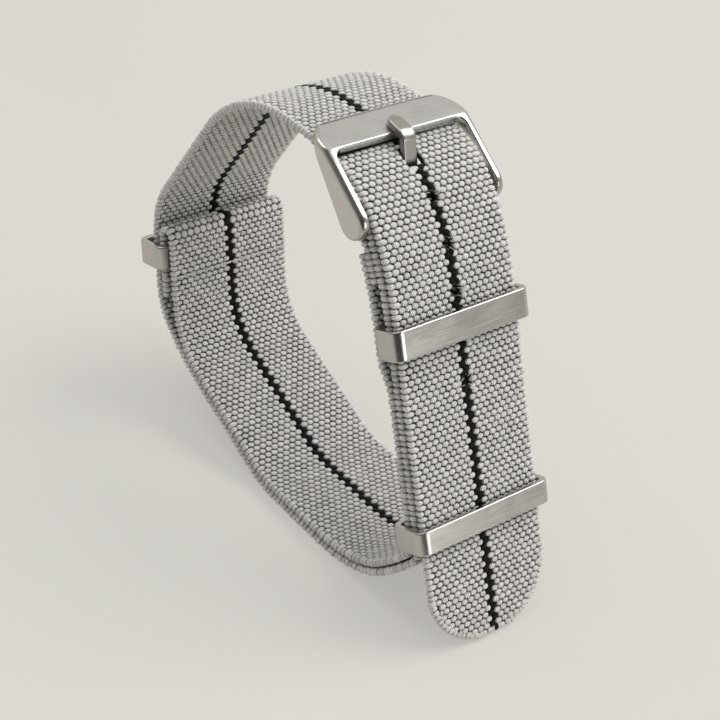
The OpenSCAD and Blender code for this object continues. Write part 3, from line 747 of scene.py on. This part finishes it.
def finished(node, name, width, materials, slot_of=None, weight_of=None):
    """Copy of a metal node with its edges rounded over. A weight narrows an edge's rounding."""
    obj = merged_copy(node, name)
    obj.data.materials.clear()
    for material in materials:
        obj.data.materials.append(material)
    for face in obj.data.polygons:
        face.use_smooth = True
        face.material_index = slot_of(face.center / MM, face.normal) if slot_of else 0
    bm = bmesh.new()
    bm.from_mesh(obj.data)
    bm.normal_update()
    weights = [0.0 if edge.calc_face_angle(0.0) < SHARP
               else weight_of(edge) if weight_of else 1.0 for edge in bm.edges]
    bm.free()
    obj.data.attributes.new("bevel_weight_edge", "FLOAT", "EDGE").data.foreach_set("value", weights)
    bevel = obj.modifiers.new("edges", "BEVEL")
    bevel.width = width * MM
    bevel.segments = 4
    bevel.limit_method = "WEIGHT"
    bevel.material = -1 if len(materials) == 1 else 1
    bevel.use_clamp_overlap = False
    bevel.miter_outer = "MITER_ARC"
    weighted = obj.modifiers.new("normals", "WEIGHTED_NORMAL")
    weighted.keep_sharp = False
    weighted.weight = 80
    bpy.context.view_layer.update()
    plain = bpy.data.meshes.new_from_object(obj.evaluated_get(bpy.context.evaluated_depsgraph_get()))
    obj.modifiers.clear()
    obj.data = plain
    plain.name = name
    for face in plain.polygons:
        if face.material_index == 1 and abs(face.center.x) < POLISHED_X * MM:
            face.material_index = 0
    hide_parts(node)
    return obj


# Where the buckle's arms meet its front bar in Y, the way that their upper faces look, and where their
# inner faces are in X, in mm
RAIL_RISE = math.radians(35)
RAIL_Y, RAIL_TOP = 3.7 + ROW_Y, Vector((0, -math.sin(RAIL_RISE), math.cos(RAIL_RISE)))
INNER_X = 10.35


def buckle_slot(centre, normal):
    """Side plates are brushed, the rails on the arms polished and the front bar satin."""
    if abs(normal.x) > 0.9:
        return 2
    return 1 if centre.y < RAIL_Y and abs(centre.x) > INNER_X - 0.1 and normal.dot(RAIL_TOP) > 0.5 else 0


def buckle_weight(edge):
    """Wide rounding on the outer edges of the rails, less towards the ears' undersides, the rear and the
    window."""
    middle = sum((v.co for v in edge.verts), Vector()) / 2 / MM
    side = max(edge.link_faces, key=lambda f: abs(f.normal.x) - 0.1 * abs(f.normal.dot(RAIL_TOP)))
    top = next(f for f in edge.link_faces if f != side)
    if (middle.x * side.normal.x + (middle.y - RAIL_Y) * side.normal.y) < 0:
        return 0.28
    fall = max(0.0, 1 - math.degrees(top.normal.angle(RAIL_TOP)) / 140)
    return (0.3 + 0.7 * fall) * (0.4 + 0.6 * abs(side.normal.x))


BUCKLE_ROUND, TONGUE_ROUND, KEEPER_ROUND = 0.7, 0.26, 0.22  # widths of the rounded edges, in mm
frame_piece = finished("buckle_frame", "buckle_frame_dressed", BUCKLE_ROUND, (satin, polished, side_brushed),
                       buckle_slot, buckle_weight)
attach(frame_piece, "buckle_frame")
tongue_piece = finished("buckle_tongue", "buckle_tongue_dressed", TONGUE_ROUND, (shaded_tongue_satin,))
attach(tongue_piece, "buckle_tongue")
for keeper in ("upper_keeper", "lower_keeper", "left_keeper"):
    piece = finished(keeper, keeper + "_dressed", KEEPER_ROUND, (keeper_brushed,))
    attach(piece, keeper)
for node in ("spring_bar_tube", "spring_bar_plunger_left", "spring_bar_plunger_right", "spring_bar_coil"):
    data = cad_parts[node].data
    data.materials.clear()
    data.materials.append(drawn)


# ---- Floor, light and camera ----

BACKDROP = "DFDCD6"
FLOOR_MIDDLE, FLOOR_SIZE = (0.1, 0.47, 0.0), 1.2
FLOOR_GLOW = 0.53  # share of the card's colour that is the same everywhere, so its shadows stay light

bpy.ops.mesh.primitive_plane_add(size=FLOOR_SIZE, location=FLOOR_MIDDLE)
floor = bpy.context.object
floor.name = "floor"


def seen_ray(tree):
    """1 for the rays that show a background: from the camera, off a mirror or through glass."""
    path_kind = add(tree, "ShaderNodeLightPath")
    seen = path_kind.outputs["Is Camera Ray"]
    for kind in ("Is Glossy Ray", "Is Transmission Ray"):
        seen = add(tree, "ShaderNodeMath", {0: seen, 1: path_kind.outputs[kind]}, operation="MAXIMUM").outputs[0]
    return seen


mat, tree = new_material("warm_grey_card")
shader = add(tree, "ShaderNodeBsdfPrincipled", {"Base Color": linear("D2CFC9"), "Roughness": 0.9,
                                                "Specular IOR Level": 0.1})
# Painted light: the card's glow grows a little brighter towards its left end
spot = add(tree, "ShaderNodeNewGeometry")
near = add(tree, "ShaderNodeVectorMath", {0: spot.outputs["Position"], 1: (-1.0, 0.0, 0.0)},
           operation="DOT_PRODUCT")
level = add(tree, "ShaderNodeMapRange", {"Value": near.outputs["Value"], "From Min": -0.03, "From Max": 0.1,
                                         "To Min": 1.0, "To Max": 1.12})
even = add(tree, "ShaderNodeEmission", {"Color": linear(BACKDROP), "Strength": level.outputs[0]})
share = add(tree, "ShaderNodeMath", {0: seen_ray(tree), 1: FLOOR_GLOW}, operation="MULTIPLY")
card = add(tree, "ShaderNodeMixShader", {0: share.outputs[0], 1: shader.outputs[0], 2: even.outputs[0]})
add(tree, "ShaderNodeOutputMaterial", {"Surface": card.outputs[0]})
floor.data.materials.append(mat)

world = bpy.data.worlds.new("studio")
bpy.context.scene.world = world
world.use_nodes = True
world.node_tree.nodes.clear()
tree = world.node_tree
# Metal sees a dim studio on the camera's side; the camera sees the same backdrop everywhere
direction = add(tree, "ShaderNodeTexCoord")
forward = add(tree, "ShaderNodeVectorMath", {0: direction.outputs["Generated"], 1: (-0.58, -0.75, 0.3)},
              operation="DOT_PRODUCT")
dim = add(tree, "ShaderNodeMapRange", {"Value": forward.outputs["Value"], "From Min": -0.35, "From Max": 1.0,
                                       "To Min": 1.0, "To Max": 0.1}, interpolation_type="SMOOTHSTEP")
from_camera = add(tree, "ShaderNodeLightPath").outputs["Is Camera Ray"]
shade = add(tree, "ShaderNodeMath", {0: dim.outputs[0], 1: from_camera}, operation="MAXIMUM")
soft = add(tree, "ShaderNodeBackground", {"Color": linear("F4F5F6"), "Strength": 0.5})
shown = add(tree, "ShaderNodeBackground", {"Color": linear(BACKDROP), "Strength": shade.outputs[0]})
sky = add(tree, "ShaderNodeMixShader", {0: seen_ray(tree), 1: soft.outputs[0], 2: shown.outputs[0]})
add(tree, "ShaderNodeOutputWorld", {"Surface": sky.outputs[0]})


def softbox(name, place_at, size, power):
    """Square area lamp that looks at the middle of the band."""
    lamp = bpy.data.lights.new(name, "AREA")
    lamp.shape, lamp.size, lamp.energy = "SQUARE", size, power
    obj = bpy.data.objects.new(name, lamp)
    obj.location = place_at
    obj.rotation_euler = (Vector((0, 0, 0.03)) - Vector(place_at)).to_track_quat("-Z", "Y").to_euler()
    bpy.context.scene.collection.objects.link(obj)


softbox("key", (0.34, -0.12, 0.5), 0.42, 2.2)
softbox("front", (0.168, -0.575, 0.1), 0.3, 0.7)
softbox("top", (-0.05, 0.25, 0.6), 0.4, 0.9)

camera = bpy.data.cameras.new("camera")
camera.lens, camera.sensor_width = 90.0, 36.0
camera.clip_start, camera.clip_end = 0.01, 10.0
ahead = Vector((0.5666, 0.5797, -0.5856)).normalized()
right = Vector((0.7737, -0.6188, 0.1360))
right = (right - ahead * right.dot(ahead)).normalized()
above = right.cross(ahead)
eye = bpy.data.objects.new("camera", camera)
turned = Matrix((right, above, -ahead)).transposed().to_4x4()
eye.matrix_world = Matrix.Translation((-0.13656, -0.14168, 0.16363)) @ turned
bpy.context.scene.collection.objects.link(eye)
bpy.context.scene.camera = eye
bpy.context.scene.view_settings.view_transform = "Standard"
